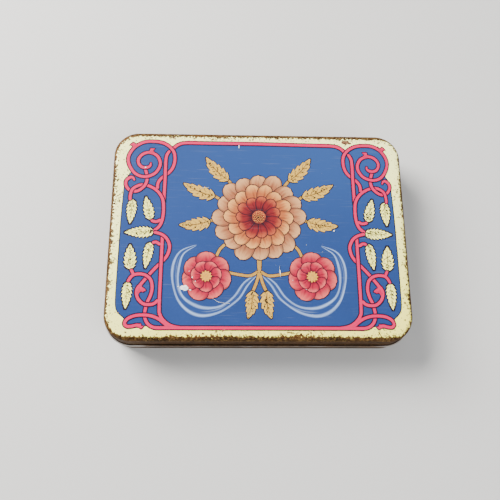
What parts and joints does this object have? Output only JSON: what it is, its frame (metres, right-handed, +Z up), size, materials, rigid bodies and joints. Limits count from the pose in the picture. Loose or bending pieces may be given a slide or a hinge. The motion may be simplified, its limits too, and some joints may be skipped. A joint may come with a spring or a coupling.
{
  "type": "tobacco tin",
  "caption": "Flat hinged tin with rounded corners, a beaded tray and a lid printed with a blue panel, a scrolled border and flowers.",
  "frame": {"origin": "on the table under the middle of the tray's flat bottom", "axes": "+X along the tin's long side, +Y towards the hinges at the back, +Z up"},
  "size_m": [0.1368, 0.103, 0.0224],
  "materials": {
    "tinplate": "worn satin tinplate, browned along its edges",
    "cream_lacquer": "satin lacquer, chipped and browned along its edges",
    "steel_wire": "satin",
    "blue_print": "satin print",
    "pink_print": "satin print",
    "leaf_print": "satin print",
    "tan_print": "satin print",
    "orange_print": "satin print",
    "plum_print": "satin print",
    "red_print": "satin print",
    "gold_print": "satin print",
    "wisp_print": "satin print"
  },
  "bodies": {
    "tray": {"tray": "tinplate", "hinge_pin_left": "steel_wire", "hinge_pin_right": "steel_wire"},
    "lid": {"lid": "cream_lacquer", "blue_field": "blue_print", "border_scroll": "pink_print", "border_leaf_left_1": "leaf_print", "border_leaf_left_2": "leaf_print", "border_leaf_left_3": "leaf_print", "border_leaf_left_4": "leaf_print", "border_leaf_left_5": "leaf_print", "border_leaf_left_6": "leaf_print", "border_leaf_right_1": "leaf_print", "border_leaf_right_2": "leaf_print", "border_leaf_right_3": "leaf_print", "border_leaf_right_4": "leaf_print", "border_leaf_right_5": "leaf_print", "border_leaf_right_6": "leaf_print", "dahlia_petals": "tan_print", "dahlia_inner_petals": "orange_print", "dahlia_heart": "plum_print", "blossom_left": "red_print", "blossom_right": "red_print", "blossom_heart_left": "gold_print", "blossom_heart_right": "gold_print", "ribbon_left": "wisp_print", "ribbon_right": "wisp_print", "gold_leaf_left_1": "gold_print", "gold_leaf_left_2": "gold_print", "gold_leaf_left_3": "gold_print", "gold_leaf_left_4": "gold_print", "gold_leaf_right_1": "gold_print", "gold_leaf_right_2": "gold_print", "gold_leaf_right_3": "gold_print", "gold_leaf_right_4": "gold_print"}
  },
  "joints": [
    {"name": "lid_hinge", "type": "hinge", "parent": "tray", "child": "lid", "pos_m": [0, 0.0512, 0.01295], "axis": [-1, 0, 0], "range_deg": [0, 110]}
  ]
}
